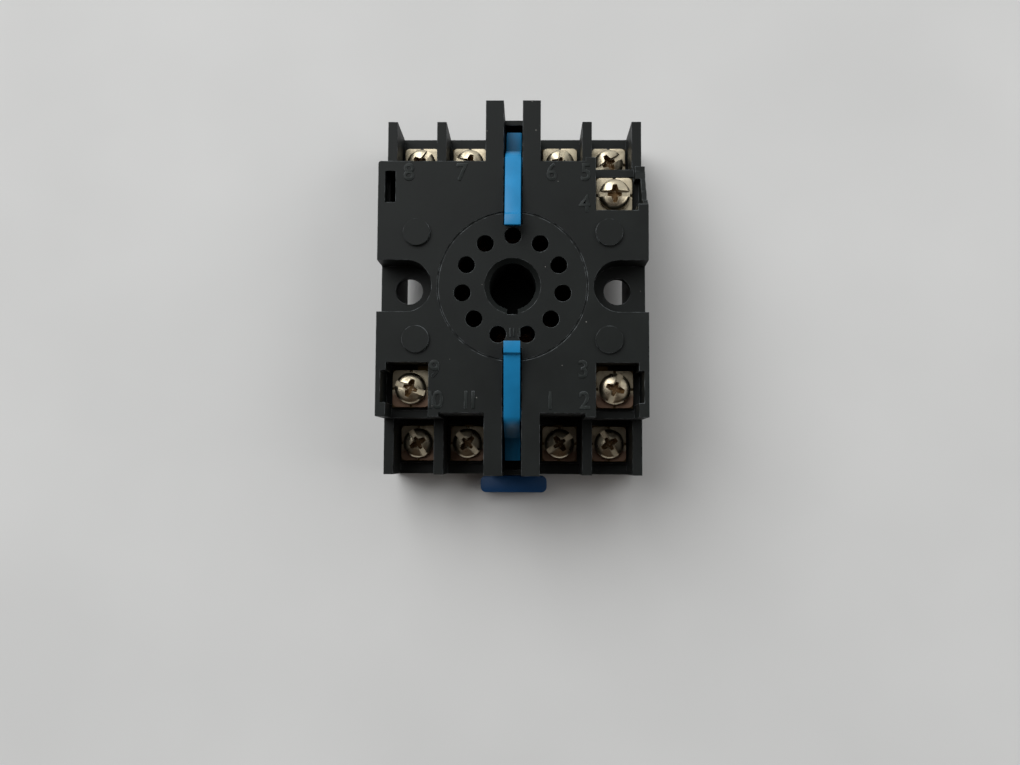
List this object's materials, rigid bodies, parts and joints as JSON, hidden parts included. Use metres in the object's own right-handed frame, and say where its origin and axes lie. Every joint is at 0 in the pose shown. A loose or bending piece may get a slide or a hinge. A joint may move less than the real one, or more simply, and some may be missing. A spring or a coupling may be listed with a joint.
{
  "type": "relay socket",
  "caption": "Low square-cornered plug-in relay socket: keyed centre bore in a ring of pin holes, two ejector levers, tiered screw terminals, rail groove and latch.",
  "frame": {"origin": "centre of the relay's pin circle, in the plane of the deck the relay sits on", "axes": "+Z out of the deck towards the relay, X along the mounting rail, +Y towards the fixed rail hook and away from the latch"},
  "size_m": [0.051, 0.0749, 0.0347],
  "materials": {
    "housing": "moulded black thermoset, satin",
    "blue_plastic": "moulded blue nylon, satin",
    "spring_steel": "bright spring steel",
    "strip_brass": "stamped brass, nickel flashed",
    "clip_bronze": "stamped spring bronze",
    "assembly_steel": "zinc plated",
    "nickel_screw": "bright nickel plate",
    "nickel_washer": "satin nickel plate"
  },
  "bodies": {
    "socket_body": {"cover": "housing", "base": "housing", "terminal_strip_1": "strip_brass", "terminal_strip_2": "strip_brass", "terminal_strip_3": "strip_brass", "terminal_strip_4": "strip_brass", "terminal_strip_5": "strip_brass", "terminal_strip_6": "strip_brass", "terminal_strip_7": "strip_brass", "terminal_strip_8": "strip_brass", "terminal_strip_9": "strip_brass", "terminal_strip_10": "strip_brass", "terminal_strip_11": "strip_brass", "contact_clip_1": "clip_bronze", "contact_clip_2": "clip_bronze", "contact_clip_3": "clip_bronze", "contact_clip_4": "clip_bronze", "contact_clip_5": "clip_bronze", "contact_clip_6": "clip_bronze", "contact_clip_7": "clip_bronze", "contact_clip_8": "clip_bronze", "contact_clip_9": "clip_bronze", "contact_clip_10": "clip_bronze", "contact_clip_11": "clip_bronze", "assembly_screw_1": "assembly_steel", "assembly_screw_2": "assembly_steel", "assembly_screw_3": "assembly_steel", "assembly_screw_4": "assembly_steel", "latch_spring": "spring_steel"},
    "top_lever": {"ejector_lever_top": "blue_plastic"},
    "bottom_lever": {"ejector_lever_bottom": "blue_plastic"},
    "latch": {"din_latch": "blue_plastic"},
    "clamp_1": {"clamp_washer_1": "nickel_washer"},
    "screw_1": {"terminal_screw_1": "nickel_screw"},
    "clamp_2": {"clamp_washer_2": "nickel_washer"},
    "screw_2": {"terminal_screw_2": "nickel_screw"},
    "clamp_3": {"clamp_washer_3": "nickel_washer"},
    "screw_3": {"terminal_screw_3": "nickel_screw"},
    "clamp_4": {"clamp_washer_4": "nickel_washer"},
    "screw_4": {"terminal_screw_4": "nickel_screw"},
    "clamp_5": {"clamp_washer_5": "nickel_washer"},
    "screw_5": {"terminal_screw_5": "nickel_screw"},
    "clamp_6": {"clamp_washer_6": "nickel_washer"},
    "screw_6": {"terminal_screw_6": "nickel_screw"},
    "clamp_7": {"clamp_washer_7": "nickel_washer"},
    "screw_7": {"terminal_screw_7": "nickel_screw"},
    "clamp_8": {"clamp_washer_8": "nickel_washer"},
    "screw_8": {"terminal_screw_8": "nickel_screw"},
    "clamp_9": {"clamp_washer_9": "nickel_washer"},
    "screw_9": {"terminal_screw_9": "nickel_screw"},
    "clamp_10": {"clamp_washer_10": "nickel_washer"},
    "screw_10": {"terminal_screw_10": "nickel_screw"},
    "clamp_11": {"clamp_washer_11": "nickel_washer"},
    "screw_11": {"terminal_screw_11": "nickel_screw"}
  },
  "joints": [
    {"name": "top_lever_tilt", "type": "hinge", "parent": "socket_body", "child": "top_lever", "pos_m": [0, 0.024, -0.003], "axis": [-1, 0, 0], "range_deg": [0, 16]},
    {"name": "bottom_lever_tilt", "type": "hinge", "parent": "socket_body", "child": "bottom_lever", "pos_m": [0, -0.024, -0.003], "axis": [1, 0, 0], "range_deg": [0, 16]},
    {"name": "latch_pull", "type": "slide", "parent": "socket_body", "child": "latch", "axis": [0, -1, 0], "range_m": [0, 0.0026], "stiffness_N_per_m": 1200, "springref_m": -0.002, "deforming": ["latch_spring"]},
    {"name": "clamp_1_lift", "type": "slide", "parent": "socket_body", "child": "clamp_1", "axis": [0, 0, 1], "range_m": [0, 0.0015]},
    {"name": "screw_1_turn", "type": "hinge", "parent": "clamp_1", "child": "screw_1", "pos_m": [0.00945, -0.0292, -0.0214], "axis": [0, 0, 1], "range_deg": [0, 903]},
    {"name": "clamp_2_lift", "type": "slide", "parent": "socket_body", "child": "clamp_2", "axis": [0, 0, 1], "range_m": [0, 0.0015]},
    {"name": "screw_2_turn", "type": "hinge", "parent": "clamp_2", "child": "screw_2", "pos_m": [0.0196, -0.0292, -0.0214], "axis": [0, 0, 1], "range_deg": [0, 903]},
    {"name": "clamp_3_lift", "type": "slide", "parent": "socket_body", "child": "clamp_3", "axis": [0, 0, 1], "range_m": [0, 0.0015]},
    {"name": "screw_3_turn", "type": "hinge", "parent": "clamp_3", "child": "screw_3", "pos_m": [0.0196, -0.0189, -0.0068], "axis": [0, 0, 1], "range_deg": [0, 903]},
    {"name": "clamp_4_lift", "type": "slide", "parent": "socket_body", "child": "clamp_4", "axis": [0, 0, 1], "range_m": [0, 0.0015]},
    {"name": "screw_4_turn", "type": "hinge", "parent": "clamp_4", "child": "screw_4", "pos_m": [0.0196, 0.0189, -0.0068], "axis": [0, 0, 1], "range_deg": [0, 903]},
    {"name": "clamp_5_lift", "type": "slide", "parent": "socket_body", "child": "clamp_5", "axis": [0, 0, 1], "range_m": [0, 0.0015]},
    {"name": "screw_5_turn", "type": "hinge", "parent": "clamp_5", "child": "screw_5", "pos_m": [0.0196, 0.0292, -0.0214], "axis": [0, 0, 1], "range_deg": [0, 903]},
    {"name": "clamp_6_lift", "type": "slide", "parent": "socket_body", "child": "clamp_6", "axis": [0, 0, 1], "range_m": [0, 0.0015]},
    {"name": "screw_6_turn", "type": "hinge", "parent": "clamp_6", "child": "screw_6", "pos_m": [0.00945, 0.0292, -0.0214], "axis": [0, 0, 1], "range_deg": [0, 903]},
    {"name": "clamp_7_lift", "type": "slide", "parent": "socket_body", "child": "clamp_7", "axis": [0, 0, 1], "range_m": [0, 0.0015]},
    {"name": "screw_7_turn", "type": "hinge", "parent": "clamp_7", "child": "screw_7", "pos_m": [-0.00945, 0.0292, -0.0214], "axis": [0, 0, 1], "range_deg": [0, 903]},
    {"name": "clamp_8_lift", "type": "slide", "parent": "socket_body", "child": "clamp_8", "axis": [0, 0, 1], "range_m": [0, 0.0015]},
    {"name": "screw_8_turn", "type": "hinge", "parent": "clamp_8", "child": "screw_8", "pos_m": [-0.0196, 0.0292, -0.0214], "axis": [0, 0, 1], "range_deg": [0, 903]},
    {"name": "clamp_9_lift", "type": "slide", "parent": "socket_body", "child": "clamp_9", "axis": [0, 0, 1], "range_m": [0, 0.0015]},
    {"name": "screw_9_turn", "type": "hinge", "parent": "clamp_9", "child": "screw_9", "pos_m": [-0.0196, -0.0189, -0.0068], "axis": [0, 0, 1], "range_deg": [0, 903]},
    {"name": "clamp_10_lift", "type": "slide", "parent": "socket_body", "child": "clamp_10", "axis": [0, 0, 1], "range_m": [0, 0.0015]},
    {"name": "screw_10_turn", "type": "hinge", "parent": "clamp_10", "child": "screw_10", "pos_m": [-0.0196, -0.0292, -0.0214], "axis": [0, 0, 1], "range_deg": [0, 903]},
    {"name": "clamp_11_lift", "type": "slide", "parent": "socket_body", "child": "clamp_11", "axis": [0, 0, 1], "range_m": [0, 0.0015]},
    {"name": "screw_11_turn", "type": "hinge", "parent": "clamp_11", "child": "screw_11", "pos_m": [-0.00945, -0.0292, -0.0214], "axis": [0, 0, 1], "range_deg": [0, 903]}
  ],
  "couplings": [
    {"joint": "screw_1_turn", "follows": "clamp_1_lift", "rad_per_m": 10472},
    {"joint": "screw_2_turn", "follows": "clamp_2_lift", "rad_per_m": 10472},
    {"joint": "screw_3_turn", "follows": "clamp_3_lift", "rad_per_m": 10472},
    {"joint": "screw_4_turn", "follows": "clamp_4_lift", "rad_per_m": 10472},
    {"joint": "screw_5_turn", "follows": "clamp_5_lift", "rad_per_m": 10472},
    {"joint": "screw_6_turn", "follows": "clamp_6_lift", "rad_per_m": 10472},
    {"joint": "screw_7_turn", "follows": "clamp_7_lift", "rad_per_m": 10472},
    {"joint": "screw_8_turn", "follows": "clamp_8_lift", "rad_per_m": 10472},
    {"joint": "screw_9_turn", "follows": "clamp_9_lift", "rad_per_m": 10472},
    {"joint": "screw_10_turn", "follows": "clamp_10_lift", "rad_per_m": 10472},
    {"joint": "screw_11_turn", "follows": "clamp_11_lift", "rad_per_m": 10472}
  ]
}
